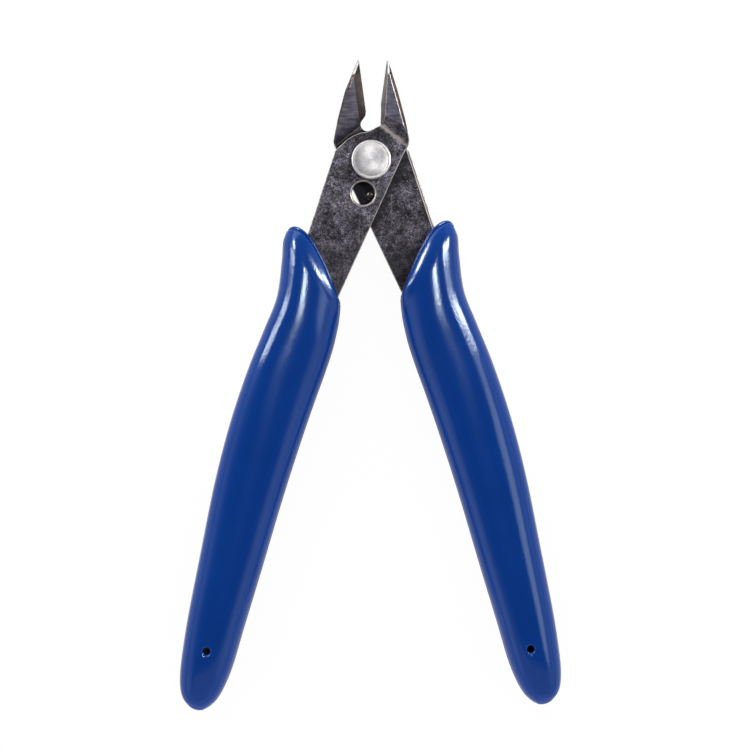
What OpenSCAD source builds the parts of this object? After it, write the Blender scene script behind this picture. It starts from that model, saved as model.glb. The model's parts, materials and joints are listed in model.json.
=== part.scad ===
// Flush cut pliers: two crossing stamped levers on a rivet, with a hidden
// wire spring, an opening stop in a round window and slip-on moulded grips.
// Millimetres. The tool lies flat on its grips: +Y to the jaw tips, +Z up.

/* [Levers] */
// width of a lever across the pivot
head_w = 12.8; // [12.2:0.1:13.4]
// thickness of each stamped plate
plate_t = 2.5; // [2.2:0.1:2.8]
// opening between the two levers at rest, degrees
open_deg = 16; // [12:1:16]
// distance from the pivot to the jaw tips
jaw_len = 19.4; // [17.5:0.1:21]
// upward bend of the jaws, degrees
bend_deg = 21; // [16:1:24]
// distance from the pivot to the bend line
bend_at = 6.18; // [6:0.02:6.6]
// inside radius of the bend
bend_r = 1.5; // [0.8:0.1:2]
// end of the tang inside the grip, from the pivot
tang_end = 103.6; // [98:0.2:104.4]

/* [Jaw grinding] */
// offset of the cutting line to the right of the pivot
edge_off = 0.3; // [0.1:0.05:0.5]
// thickness left at the ground tips
tip_t = 1; // [0.8:0.05:1.4]
// length of the facet on the front jaw's tip
tip_facet = 2.5; // [1.5:0.1:3.5]
// width of the bevel along the outer edge of a jaw
bevel_w = 0.6; // [0.3:0.05:0.9]
// width of the ground land beside the rear cutting edge
land_w = 1.5; // [1:0.1:2]
// radius of the clearance notch at the root of the front jaw
front_notch = 0.55; // [0.4:0.05:0.7]
// radius of the clearance notch at the root of the rear jaw
rear_notch = 1.4; // [1.1:0.05:1.5]

/* [Pivot] */
// radius of the rivet shank
shank_r = 2.5; // [2.2:0.05:2.7]
// radius of the turned front head
head_r = 3.88; // [3.6:0.02:4.2]
// height of the front head
head_h = 0.9; // [0.6:0.05:1.2]
// radius of the rear collar
collar_r = 3.7; // [3.6:0.05:4.2]
// height of the rear collar
collar_h = 1; // [0.7:0.05:1.3]

/* [Stop and spring] */
// distance from the pivot to the stop pin
stop_at = 6.8; // [6.6:0.05:7.2]
// radius of the window in the front plate
window_r = 2.22; // [2.1:0.02:2.5]
// radius of the stop pin
pin_r = 0.78; // [0.6:0.02:0.84]
// diameter of the spring wire
wire_d = 0.9; // [0.7:0.05:0.95]

/* [Grips] */
// length of a grip from the horn to the end
grip_len = 95.6; // [93:0.2:104]
// widest part of a grip
grip_w = 14.3; // [13.6:0.1:16]
// thickness of a grip
grip_t = 9.4; // [8.6:0.1:11]
// how far the mouth edge bulges to the pivot
mouth_bulge = 3.25; // [2:0.05:3.6]
// how much lower the left grip is seated than the right one
seat_step = 1.2; // [0:0.1:1.4]
// radius of the vent hole near the grip end
vent_r = 0.7; // [0.5:0.05:1]

/* [Fits] */
// gap between the two plates
plate_gap = 0.05; // [0.03:0.01:0.08]
// radial clearance of the rivet and the pin
run_gap = 0.04; // [0.02:0.01:0.08]
// gap between the jaws' edges when closed
edge_gap = 0.04; // [0.03:0.01:0.1]
// gap between a tang and its grip
grip_gap = 0.05; // [0.03:0.01:0.1]

/* [Hidden] */
// factors that carry the drawn outline along when a named size changes
ku = head_w / 12.8;
kj = jaw_len / 19.4;
kb = bend_at / 6.18;
kn = tang_end / 103.6;
kw = grip_w / 14.3;
kl = grip_len / 96;
kt = grip_t / 9.4;

half_open = open_deg / 2;
handle_deg = 7.5;
z_top = plate_gap / 2 + plate_t;
bore_r = shank_r + run_gap;

// the bend line crosses the lever at a slant; this is its normal in plan
bend_az = 58.6;
bend_x = cos(bend_az);
bend_y = sin(bend_az);
rise = tan(bend_deg);
blade_v = plate_t / cos(bend_deg);
d_flat = bend_at - bend_r * tan(bend_deg / 2);
notch_y = 7.1 * kb;
shoulder = [5.41 * ku, 8.72 * kj];
front_x = edge_off + edge_gap / 2;
rear_x = edge_gap / 2 - edge_off;
rear_more = 0.35 * ku;

// spring: an open ring of wire round the shank, half in each plate
wire_r = wire_d / 2;
coil_r = bore_r + 0.25 + wire_r;
pocket_r = coil_r + wire_r + 0.2;
pocket_h = wire_r + 0.06;
tail_r = wire_r + 0.03;
tail_hole = pocket_h + plate_t * 0.44;
tail_h = wire_r + tail_hole - 0.08;
tail_front = 100;
tail_rear = 40;

// the pin meets the window's wall when the jaws are fully open
window_az = 264.4;
window_at = stop_at - 0.08;
stop_reach = window_r - pin_r - 0.02;
pin_az = window_az + acos((window_at * window_at + stop_at * stop_at - stop_reach * stop_reach)
                          / (2 * window_at * stop_at));
pin_top = plate_gap / 2 + plate_t * 0.66;

// stations of a grip: outer edge p, q; inner edge p, q; half thickness
STATIONS = [
  [16.2, -11.9, 27.4, 1.6, 3.4],
  [16.7, -12.15, 27.8, 1.75, 3.8],
  [18.9, -12.3, 29.4, 2.08, 4.3],
  [22.6, -11.57, 32.2, 2.45, 4.55],
  [29.6, -10.63, 36.6, 2.63, 4.7],
  [36.6, -11.35, 41.6, 2.4, 4.7],
  [45, -12.3, 47.5, 1.95, 4.7],
  [56, -12.85, 56.5, 1.42, 4.7],
  [68, -12.63, 68, 0.98, 4.7],
  [82, -11.63, 82, 0.74, 4.7],
  [94, -10.72, 94, 0.46, 4.7],
  [101, -9.95, 101, 0.36, 4.6],
  [105.5, -9.25, 105.5, -0.1, 4.25],
  [108.6, -8.35, 108.6, -0.9, 3.6],
  [110.6, -7.1, 110.6, -2.1, 2.6],
  [111.8, -5.2, 111.8, -3.5, 1.2]
];
RING = 40;
SUB = 2;
SEC_N = 2.7;
horn_p = 16.2 * ku;
mid_q = -5.4 * ku;

// lays the whole tool on its grips, centred over the origin
hang_deg = handle_deg + half_open;
grip_low = (horn_p + grip_len) * cos(hang_deg) + 0.78 * mid_q * sin(hang_deg);
jaw_high = jaw_len * cos(half_open) + 2.3 * edge_off * sin(half_open);
lift = [0, (grip_low - jaw_high) / 2, grip_t / 2];

// handle coordinates: p along the handle from the pivot, q to the inside
function hnd(p, q) = [q * cos(handle_deg) - p * sin(handle_deg),
                      -q * sin(handle_deg) - p * cos(handle_deg)];
function inner_q(p) = 5.29 * ku - 0.157 * p;
function outer_q(p, more) = -7.25 * ku - 0.048 * p - more;

// tang outline in handle coordinates, grown by c for the grip's cavity
function tang_pt(p, q, dp, dq) = hnd(p * kn + dp, q * ku + dq);
function tang_in(c) = [
  hnd(28 * ku, inner_q(28 * ku) + c), tang_pt(33, 0.05, 0, c), tang_pt(38, -0.6, 0, c),
  tang_pt(45, -1.2, 0, c), tang_pt(56, -1.75, 0, c), tang_pt(70, -2.05, 0, c),
  tang_pt(84, -2.2, 0, c), tang_pt(97, -2.6, 0, c),
  tang_pt(101.4, -3.1, c / 2, c), tang_pt(103.1, -4.2, c, c / 2)];
function tang_out(c, more) = [
  tang_pt(103.1, -6, c, -c / 2), tang_pt(101.4, -7, c / 2, -c),
  tang_pt(97, -7.6, 0, -c), tang_pt(84, -8.7, 0, -c), tang_pt(70, -9.35, 0, -c),
  tang_pt(56, -9.5, 0, -c), tang_pt(42, -9.15, 0, -c), hnd(28 * ku, outer_q(28 * ku, more) - c)];

// plan of a lever in its closed pose; the jaw lies right of x = ex, and the
// handle is wider by more on both sides of the pivot
function lever_pts(ex, notch, ramp, more) = concat(
  [[ex, jaw_len], [ex + 0.24 * ku, jaw_len], [ex + 0.42 * ku, jaw_len - 0.3 * kj],
   [3.2 * ku, 13.95 * kj], shoulder, [6.5 * ku, 5.7 * kj], [6.8 * ku, 4.75 * kb],
   [6.76 * ku, 3.9 * kb], [6.5 * ku, 3.1 * kb]],
  [hnd(-2.9 * kb, inner_q(-2.9 * kb) + 1.4 * more), hnd(10 * ku, inner_q(10 * ku) + more)],
  tang_in(0),
  tang_out(0, more),
  [hnd(10 * ku, outer_q(10 * ku, more)), hnd(0.6 * ku, outer_q(0.6 * ku, more)),
   [-7.22 * ku - more, 0.75 * kb], [-6.92 * ku - more * 0.8, 1.2 * kb],
   [-5.24 * kb, 3.22 * kb], [-4.1 * kb, 4.15 * kb], [-2.73 * kb, 5 * kb],
   [-1.7 * kb, 5.2 * kb], [-0.5 * kb, 6.1 * kb - notch * 0.3]],
  [for (i = [0 : 7]) let (a = -90 + i * 18) [ex + notch * cos(a), notch_y + notch * sin(a)]],
  [[ex + 0.22 * ku, notch_y + ramp * 0.7], [ex, notch_y + ramp]]);

// side view of a bent plate from z0 to z0 + plate_t along the bend's normal
function arc_pts(r, zc, a0, a1, n) =
  [for (i = [0 : n]) let (a = a0 + (a1 - a0) * i / n) [d_flat + r * cos(a), zc + r * sin(a)]];
function slab_pts(z0) =
  let (zc = z0 + plate_t + bend_r, reach = 1.6 * jaw_len * [cos(bend_deg), sin(bend_deg)])
  let (up = arc_pts(bend_r, zc, -90, -90 + bend_deg, 5))
  let (dn = arc_pts(bend_r + plate_t, zc, -90 + bend_deg, -90, 5))
  concat([[-1.3 * tang_end, z0], [-1.3 * tang_end, z0 + plate_t]], up,
         [up[5] + reach, dn[0] + reach], dn);

module bent_slab(z0) {
  rotate([0, 0, bend_az])
    rotate([90, 0, 0])
      linear_extrude(height = 1.6 * tang_end, center = true)
        polygon(slab_pts(z0));
}

module lever(ex, notch, ramp, z0, more) {
  intersection() {
    translate([0, 0, -jaw_len])
      linear_extrude(height = 2 * jaw_len)
        polygon(lever_pts(ex, notch, ramp, more));
    bent_slab(z0);
  }
}

// a plane [a, b, c] is z = a x + b y + c; slope() tilts one from a line in plan
function bent_top(zt) = [rise * bend_x, rise * bend_y, zt - rise * bend_at];
function slope(az, from, rate) = rate * [cos(az), sin(az), -from];
function plane_z(pl, x, y) = pl[0] * x + pl[1] * y + pl[2];

// half space above (or under) a plane, kept to the far side of a line in plan
module half_space(pl, az, from, drop) {
  along = pl[0] * cos(az) + pl[1] * sin(az);
  across = pl[1] * cos(az) - pl[0] * sin(az);
  lean = atan(across);
  x = from * cos(az);
  y = from * sin(az);
  far = 2 * jaw_len;
  translate([x, y, plane_z(pl, x, y)])
    rotate([0, 0, az])
      rotate([lean, 0, 0])
        rotate([0, -atan(along * cos(lean)), 0])
          translate([0, -far, -drop * far])
            cube([far, 2 * far, far]);
}

module grind_top(pl, az, from) {
  half_space(pl, az, from, 0);
}

module grind_under(pl, az, from) {
  half_space(pl, az, from, 1);
}

// the outer edge of a jaw runs straight from the shoulder to the tip
function outer_az(ex) = atan2(shoulder[0] - ex - 0.42 * ku, jaw_len - shoulder[1]);
function outer_s(ex) = shoulder[0] * cos(outer_az(ex)) + shoulder[1] * sin(outer_az(ex));

// front jaw: the lower edge cuts, the ground faces lie on top
module front_grind() {
  ex = front_x;
  top = bent_top(z_top);
  az = 72.5;
  from = 8.82 * kb;
  tip_s = ex * cos(az) + jaw_len * sin(az);
  inner_w = 1.1 * ku;
  main = top - slope(az, from, (blade_v - tip_t) / (tip_s - from));
  inner = top - slope(180, -ex - inner_w, (blade_v - 0.2 * tip_t) / inner_w);
  outer = main - slope(outer_az(ex), outer_s(ex) - bevel_w, 0.9);
  tip = main - slope(90, jaw_len - tip_facet, 0.65 * tip_t / tip_facet);
  grind_top(main, az, from - plate_t);
  grind_top(inner, 90, notch_y);
  grind_top(outer, az, from - bevel_w * 1.5);
  grind_top(tip, 90, jaw_len - tip_facet * 1.05);
}

// rear jaw, drawn mirrored: the upper edge cuts, the underside is thinned
module rear_grind() {
  ex = rear_x;
  top = bent_top(-plate_gap / 2);
  az = 31;
  root = 8.8 * kb;
  main = top - slope(0, ex + land_w, 0.075);
  outer = main - slope(outer_az(ex), outer_s(ex) - bevel_w * 0.35, 0.8);
  tip = main - slope(az, ex * cos(az) + jaw_len * sin(az) - 0.42 * ku, 0.5);
  thin = top - [0, 0, blade_v] + slope(90, root, (blade_v - tip_t) / (jaw_len - root));
  inner = top - [0, 0, 0.35 * tip_t] - slope(0, ex, 2.6);
  grind_top(main, bend_az, bend_at + 0.3 * bend_r);
  grind_top(outer, bend_az, bend_at + 0.6 * bend_r);
  grind_top(tip, 90, jaw_len - 2 * tip_facet);
  grind_under(thin, 90, root - 0.8);
  grind_under(inner, 90, notch_y);
}

module bore(z0, h) {
  translate([0, 0, z0])
    cylinder(h = h, r = bore_r, $fn = 64);
}

module front_lever() {
  difference() {
    lever(front_x, front_notch, 3.9 * kb, plate_gap / 2, 0);
    front_grind();
    bore(-1, 2 * plate_t);
    translate([0, 0, -1])
      cylinder(h = 1 + pocket_h, r = pocket_r, $fn = 64);
    rotate([0, 0, tail_front + half_open])
      translate([coil_r, 0, 0])
        cylinder(h = tail_hole, r = tail_r + 0.05, $fn = 24);
    rotate([0, 0, window_az])
      translate([window_at, 0, -1]) {
        cylinder(h = 2 * plate_t, r = window_r, $fn = 48);
        translate([0, 0, 1 + z_top - window_r * 0.09])
          cylinder(h = window_r * 0.22, r1 = window_r, r2 = window_r * 1.22, $fn = 48);
      }
  }
}

module rear_lever() {
  difference() {
    mirror([1, 0, 0])
      difference() {
        lever(rear_x, rear_notch, 2.4 * kb, -z_top, rear_more);
        rear_grind();
      }
    bore(-z_top - 1, 2 * plate_t);
    translate([0, 0, -pocket_h])
      cylinder(h = 1 + pocket_h, r = pocket_r, $fn = 64);
    rotate([0, 0, tail_rear - half_open])
      translate([coil_r, 0, -tail_hole])
        cylinder(h = tail_hole, r = tail_r + 0.05, $fn = 24);
    rotate([0, 0, pin_az - open_deg])
      translate([stop_at, 0, -z_top - 1])
        cylinder(h = 2 * plate_t, r = pin_r + 0.02, $fn = 32);
  }
}

// smooth curve through the stations, then one ring of points per step
function blend4(a, b, c, d, t) =
  0.5 * ((2 * b) + (c - a) * t + (2 * a - 5 * b + 4 * c - d) * t * t
         + (3 * b - a - 3 * c + d) * t * t * t);
LAST = len(STATIONS) - 1;
function station(i, t) = blend4(STATIONS[max(i - 1, 0)], STATIONS[i], STATIONS[min(i + 1, LAST)],
                                STATIONS[min(i + 2, LAST)], t);
RINGS = concat([for (i = [0 : LAST - 1], k = [0 : SUB - 1]) station(i, k / SUB)], [STATIONS[LAST]]);
NR = len(RINGS);

function fit_p(p) = horn_p + (p - 15.8) * kl;
function fit_q(q) = mid_q + (q + 5.4) * kw;
function bulge_of(s) = mouth_bulge * pow(max(0, 1 - (s[0] - 16.2) / 30), 2.2);
function power(x, e) = sign(x) * pow(abs(x), e);

// rounded section with flat front and rear lands, bulged to the mouth; the
// inner side is squarer at the mouth, where it wraps the plate's edge
function sec_n(s, a) = cos(a) > 0 ? SEC_N : SEC_N + 3.6 * max(0, 1 - (s[2] - 27.4) / 7);
function ring_pt(s, k) =
  let (a = 360 * k / RING, n = sec_n(s, a))
  let (v = 0.5 - 0.5 * power(cos(a), 2 / n))
  let (z = power(sin(a), 2 / n) * s[4] * 1.05)
  let (p = fit_p(s[0] + (s[2] - s[0]) * v) - bulge_of(s) * sin(180 * pow(v, 0.7)))
  let (q = fit_q(s[1] + (s[3] - s[1]) * v))
  let (h = hnd(p, q))
  [h[0], h[1], max(-s[4], min(s[4], z)) * kt];

module grip_skin() {
  pts = [for (s = RINGS, k = [0 : RING - 1]) ring_pt(s, k)];
  walls = [for (i = [0 : NR - 2], k = [0 : RING - 1])
    let (a = i * RING + k, b = i * RING + (k + 1) % RING)
    each [[a, b, a + RING], [b, b + RING, a + RING]]];
  mouth = [for (k = [0 : RING / 2 - 1])
    let (a = k, b = k + 1, c = RING - 1 - k, d = (RING - k) % RING)
    each k == 0 ? [[a, c, b]] : k == RING / 2 - 1 ? [[a, d, b]] : [[a, d, b], [b, d, c]]];
  e0 = (NR - 1) * RING;
  tail = [for (k = [0 : RING / 2 - 1])
    let (a = e0 + k, b = e0 + k + 1, c = e0 + RING - 1 - k, d = e0 + (RING - k) % RING)
    each k == 0 ? [[a, b, c]] : k == RING / 2 - 1 ? [[a, b, d]] : [[a, b, d], [b, c, d]]];
  polyhedron(points = pts, faces = concat(walls, mouth, tail), convexity = 6);
}

// grip for a plate whose middle is at height zm, slipped down by slip, with
// its vent at handle coordinates vent and its slot wider by more
module grip(zm, slip, vent, more) {
  h = plate_t + 2 * grip_gap;
  start = 4 * ku;
  difference() {
    translate([-slip * sin(handle_deg), -slip * cos(handle_deg), 0])
      grip_skin();
    translate([0, 0, zm - h / 2])
      linear_extrude(height = h)
        polygon(concat([hnd(start, inner_q(start) + grip_gap + more)], tang_in(grip_gap),
                       tang_out(grip_gap, more), [hnd(start, outer_q(start, more) - grip_gap)]));
    translate(concat(hnd(fit_p(vent[0]) + slip, fit_q(vent[1])), [-grip_t]))
      cylinder(h = 2 * grip_t, r = vent_r, $fn = 24);
  }
}

module front_blade() {
  color([0.2, 0.2, 0.21])
    rotate([0, 0, -half_open])
      front_lever();
}

module rear_blade() {
  color([0.19, 0.19, 0.2])
    rotate([0, 0, half_open])
      rear_lever();
}

module pivot_rivet() {
  rear_end = -z_top - collar_h;
  lip = 0.28 * head_h;
  color([0.8, 0.81, 0.82])
    rotate_extrude($fn = 64)
      polygon([[0, rear_end * 1.1], [shank_r * 0.8, rear_end * 1.1], [shank_r, rear_end],
               [shank_r, z_top + 0.02], [head_r, z_top + 0.02], [head_r, z_top + head_h - lip],
               [head_r - lip, z_top + head_h], [0, z_top + head_h]]);
}

module rivet_collar() {
  rear_end = -z_top - collar_h;
  chamfer = 0.3 * collar_h;
  color([0.7, 0.71, 0.72])
    rotate_extrude($fn = 64)
      polygon([[shank_r + 0.01, -z_top - 0.02], [collar_r, -z_top - 0.02],
               [collar_r, rear_end + chamfer], [collar_r - chamfer, rear_end],
               [shank_r + 0.01, rear_end]]);
}

module return_spring() {
  color([0.6, 0.61, 0.63]) {
    rotate([0, 0, tail_front])
      rotate_extrude(angle = 360 + tail_rear - tail_front, $fn = 64)
        translate([coil_r, 0])
          circle(r = wire_r, $fn = 20);
    rotate([0, 0, tail_front])
      translate([coil_r, 0, -wire_r - 0.02])
        cylinder(h = tail_h, r = tail_r, $fn = 20);
    rotate([0, 0, tail_rear])
      translate([coil_r, 0, wire_r + 0.02 - tail_h])
        cylinder(h = tail_h, r = tail_r, $fn = 20);
  }
}

module stop_pin() {
  foot = -z_top + 0.05;
  color([0.75, 0.76, 0.77])
    rotate([0, 0, pin_az - half_open])
      translate([stop_at, 0, 0])
        rotate_extrude($fn = 32)
          polygon([[0, foot], [pin_r, foot], [pin_r, pin_top - pin_r * 0.6],
                   [pin_r * 0.92, pin_top - pin_r * 0.35], [pin_r * 0.65, pin_top - pin_r * 0.1],
                   [0, pin_top]]);
}

module left_grip() {
  color([0.13, 0.2, 0.55])
    rotate([0, 0, -half_open])
      grip(plate_gap / 2 + plate_t / 2, seat_step / 2, [99.9, -5.3], 0);
}

module right_grip() {
  color([0.13, 0.2, 0.55])
    rotate([0, 0, half_open])
      mirror([1, 0, 0])
        grip(-plate_gap / 2 - plate_t / 2, -seat_step / 2, [100.4, -4.4], rear_more);
}

translate(lift) front_blade();
translate(lift) rear_blade();
translate(lift) pivot_rivet();
translate(lift) rivet_collar();
translate(lift) return_spring();
translate(lift) stop_pin();
translate(lift) left_grip();
translate(lift) right_grip();
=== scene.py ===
# %% [markdown]
# # Dressing a pair of flush cut pliers
# The packed CAD frame fixes where every piece is and how it moves. This script gives each piece the
# surface that the camera sees: rounded stamped edges, ground jaw faces, turned steel, moulded vinyl.
# Everything is built at the frame's own coordinates, in metres, so nothing has to be lined up later.

import json
import math

import bmesh
import bpy
import numpy as np
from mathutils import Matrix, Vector


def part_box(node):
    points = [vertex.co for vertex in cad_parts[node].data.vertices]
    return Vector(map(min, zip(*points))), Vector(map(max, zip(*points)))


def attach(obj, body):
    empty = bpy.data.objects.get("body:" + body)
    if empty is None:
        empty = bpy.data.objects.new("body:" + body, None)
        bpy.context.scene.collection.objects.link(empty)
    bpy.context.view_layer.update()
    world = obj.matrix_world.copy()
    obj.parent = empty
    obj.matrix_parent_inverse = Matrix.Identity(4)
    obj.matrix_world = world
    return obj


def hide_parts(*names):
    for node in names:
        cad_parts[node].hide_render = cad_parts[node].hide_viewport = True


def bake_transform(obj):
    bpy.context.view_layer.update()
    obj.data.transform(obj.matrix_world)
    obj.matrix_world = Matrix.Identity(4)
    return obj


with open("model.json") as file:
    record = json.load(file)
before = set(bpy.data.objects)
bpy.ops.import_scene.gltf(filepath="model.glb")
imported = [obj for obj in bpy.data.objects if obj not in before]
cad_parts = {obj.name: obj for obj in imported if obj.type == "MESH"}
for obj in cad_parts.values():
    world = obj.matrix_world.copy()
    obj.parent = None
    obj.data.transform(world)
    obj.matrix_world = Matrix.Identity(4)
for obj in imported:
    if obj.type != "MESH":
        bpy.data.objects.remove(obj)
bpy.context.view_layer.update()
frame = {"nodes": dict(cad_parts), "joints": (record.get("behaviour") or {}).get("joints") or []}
JOINT = frame["joints"][0]
PIVOT = np.array(JOINT["pos_m"])
HALF_OPEN = math.radians(JOINT["range_deg"][1]) / 2
MM = 0.001
print("nodes:", sorted(frame["nodes"]))

# %% [markdown]
# ## One drawing frame for both halves
# Each half is easiest to draw with its jaw closed: the cutting line then stands along +Y and the rear
# half is the mirror of the front one. `place` turns such a drawing, in millimetres about the pivot, to
# the open rest pose. `unplace` goes back, so a face of the CAD mesh can be asked where it lies on a jaw.
# Two separate drawings would work too, but then every change would have to be made twice.

# %% Between the closed drawing and the open rest pose
FRONT, REAR = 1, -1


def turned(points, angle):
    c, s = math.cos(angle), math.sin(angle)
    x, y = points[..., 0], points[..., 1]
    return np.stack([c * x - s * y, s * x + c * y, points[..., 2]], -1)


def place(points, side):
    drawn = np.asarray(points, float) * [side, 1, 1]
    return turned(drawn, -side * HALF_OPEN) * MM + PIVOT


def unplace(points, side):
    back = turned((np.asarray(points, float) - PIVOT) / MM, side * HALF_OPEN)
    return back * [side, 1, 1]


def unturn(direction, side):
    return turned(np.asarray(direction, float), side * HALF_OPEN) * [side, 1, 1]


def heading(degrees):
    """A direction in the plane of the plates, counted from +X."""
    return np.array([math.cos(math.radians(degrees)), math.sin(math.radians(degrees)), 0.0])


# %% [markdown]
# ## From a mesh to a piece
# A piece is more than a mesh here: it rides on one half of the tool and stands for a node of the frame, whose
# mesh it hides. One helper says all of that, so no piece can miss a part of it. A piece that is still to be
# drilled gets its ride later, and passes no body; the spring passes none and gets none.

# %% Make a piece
def add_piece(name, mesh, body, node, finishes):
    piece = bpy.data.objects.new(name, mesh)
    bpy.context.scene.collection.objects.link(piece)
    for finish in finishes:
        mesh.materials.append(finish)
    mesh.shade_smooth()
    if body:
        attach(piece, body)
    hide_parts(node)
    print(name, "stands for", node, "with", len(mesh.polygons), "faces")
    return piece


def new_mesh(name, points, faces):
    mesh = bpy.data.meshes.new(name)
    mesh.from_pydata([tuple(p) for p in points], [], faces)
    mesh.update()
    return mesh


print("nodes to dress:", len(frame["nodes"]))

# %% [markdown]
# ## Rings of points
# A turned piece is a profile swept round the pivot's direction, and a moulded one is a stack of rings.
# Blender's Screw modifier could turn the profile. Plain rings do the turned, the swept and the moulded
# pieces alike, and they say exactly which faces come out.

# %% Rings and turned profiles
def ring_faces(rings, count, closed=False):
    """Quads between neighbouring rings; the ends are capped, or joined when closed."""
    faces = []
    for i in range(rings if closed else rings - 1):
        here, there = i * count, (i + 1) % rings * count
        for k in range(count):
            after = (k + 1) % count
            faces.append((here + k, here + after, there + after, there + k))
    if not closed:
        faces.append(tuple(range(count))[::-1])
        faces.append(tuple((rings - 1) * count + k for k in range(count)))
    return faces


def lathe(profile, centre, count, closed=False):
    """Turns a profile [(radius, height)] in mm, listed from its bottom to its top."""
    turn = np.linspace(0, 2 * math.pi, count, endpoint=False)
    rings = [np.stack([r * np.cos(turn), r * np.sin(turn), np.full(count, z)], -1) for r, z in profile]
    return np.concatenate(rings) * MM + np.asarray(centre), ring_faces(len(profile), count, closed)


print("a capped tube of 3 rings by 8 has", len(ring_faces(3, 8)), "faces")

# %% [markdown]
# ## Wiring nodes
# No surface of this tool has one flat colour, so every finish is a small node tree. Written out node by
# node, such trees hide what they mean. Most of these calls make one node, wire it up and hand back its
# output. `feed` lets a socket take either another node's output or a plain value.

# %% Wiring
class Wiring:
    """The node tree of a material or of the world."""

    def __init__(self, owner):
        owner.use_nodes = True
        self.made = owner
        self.nodes, self.links = owner.node_tree.nodes, owner.node_tree.links

    def node(self, kind):
        return self.nodes.new("ShaderNode" + kind)

    def feed(self, socket, value):
        if isinstance(value, bpy.types.NodeSocket):
            self.links.new(value, socket)
        else:
            socket.default_value = value

    def shade(self, name, value):
        """Feeds one input of the finish's own shader."""
        self.feed(self.nodes["Principled BSDF"].inputs[name], value)

    def where(self, space="Object"):
        return self.node("TexCoord").outputs[space]

    def calc(self, kind, a, b=0.0):
        made = self.node("Math")
        made.operation = kind
        self.feed(made.inputs[0], a)
        self.feed(made.inputs[1], b)
        return made.outputs["Value"]

    def vector(self, kind, a, b):
        made = self.node("VectorMath")
        made.operation = kind
        self.feed(made.inputs[0], a)
        self.feed(made.inputs[1], b)
        return made.outputs["Vector" if kind == "SUBTRACT" else "Value"]


print("wiring calls:", [name for name in vars(Wiring) if not name.startswith("_")])

# %% [markdown]
# ## Noise, ramps and masks
# The finishes are mixed from a few things: noise for what is uneven, a ramp that turns it into colours, a
# mix of two of them, a range that cuts a mask out of a value, and a bump. Blender has many textures more.
# Noise alone, at several sizes and sometimes stretched, is enough for steel and for vinyl.

# %% The finish bench
class Bench(Wiring):
    """Wiring, with what the finishes are mixed from."""

    def noise(self, scale, detail, stretch=(1, 1, 1), turn=0.0):
        move = self.node("Mapping")
        self.feed(move.inputs["Vector"], self.where())
        self.feed(move.inputs["Scale"], stretch)
        self.feed(move.inputs["Rotation"], (0, 0, turn))
        made = self.node("TexNoise")
        self.feed(made.inputs["Vector"], move.outputs["Vector"])
        self.feed(made.inputs["Scale"], scale)
        self.feed(made.inputs["Detail"], detail)
        return made.outputs["Fac"]

    def ramp(self, value, stops):
        made = self.node("ValToRGB")
        while len(made.color_ramp.elements) < len(stops):
            made.color_ramp.elements.new(0.5)
        for element, (at, colour) in zip(made.color_ramp.elements, stops):
            element.position = at
            element.color = (*colour, 1)
        self.feed(made.inputs["Fac"], value)
        return made.outputs["Color"]

    def mixed(self, factor, a, b, kind="MIX"):
        made = self.node("Mix")
        made.data_type = "RGBA"
        made.blend_type = kind
        for index, value in ((0, factor), (6, a), (7, b)):
            self.feed(made.inputs[index], value)
        return made.outputs[2]

    def spread(self, value, low, high):
        """A noise's usual range, 0.25 to 0.75, spread to low and high."""
        made = self.node("MapRange")
        for name, number in (("From Min", 0.25), ("From Max", 0.75), ("To Min", low), ("To Max", high)):
            self.feed(made.inputs[name], number)
        self.feed(made.inputs["Value"], value)
        return made.outputs["Result"]

    def clamped(self, value, start, end):
        """0 at start, 1 at end, smooth between; start may be the larger."""
        made = self.node("MapRange")
        made.interpolation_type = "SMOOTHSTEP"
        self.feed(made.inputs["From Min"], start)
        self.feed(made.inputs["From Max"], end)
        self.feed(made.inputs["Value"], value)
        return made.outputs["Result"]

    def bump(self, height, distance, strength):
        made = self.node("Bump")
        self.feed(made.inputs["Distance"], distance)
        self.feed(made.inputs["Strength"], strength)
        self.feed(made.inputs["Height"], height)
        self.shade("Normal", made.outputs["Normal"])


def finish_bench(name):
    return Bench(bpy.data.materials.new(name))


print("bench calls:", [name for name in vars(Bench) if not name.startswith("_")])

# %% [markdown]
# ## Where on the tool a point lies
# Painted light and shade have a place: a highlight along the bend of a jaw, shade round the window and beside
# a grip. A mask painted as an image would need that image and an unwrap. Here a mask asks how far a point
# reaches from the pivot in some direction, in the piece's own coordinates, so it stays on its spot when the
# tool closes.

# %% Masks that follow the piece
BEND_AT = 6.18
BEND_NORMAL = heading(58.6)
WINDOW = place(6.72 * heading(264.4), FRONT)


def bend_direction(side):
    return turned(BEND_NORMAL * [side, 1, 1], -side * HALF_OPEN)


def reach(bench, direction):
    """Millimetres from the pivot along a direction in the rest pose."""
    from_pivot = bench.vector("SUBTRACT", bench.where(), tuple(PIVOT))
    return bench.vector("DOT_PRODUCT", from_pivot, tuple(np.asarray(direction) / MM))


def near(bench, centre, inner, outer):
    """1 within inner millimetres of a point, falling to 0 at outer."""
    gap = bench.vector("DISTANCE", bench.where(), tuple(centre))
    return bench.clamped(gap, outer * MM, inner * MM)


print("the bends face", np.round(bend_direction(FRONT), 3), "and", np.round(bend_direction(REAR), 3))
print("window at", np.round(WINDOW / MM, 2), "mm")

# %% [markdown]
# ## The oxide skin
# Black oxide is not one grey: it is a thin dark skin, thicker in some patches than in others, a little
# violet, and marked by use. Three noises of different size make patches, mottling and grain. Scratches
# are the peaks of a noise that is stretched along one direction, and flecks are the peaks of a round one.

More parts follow.
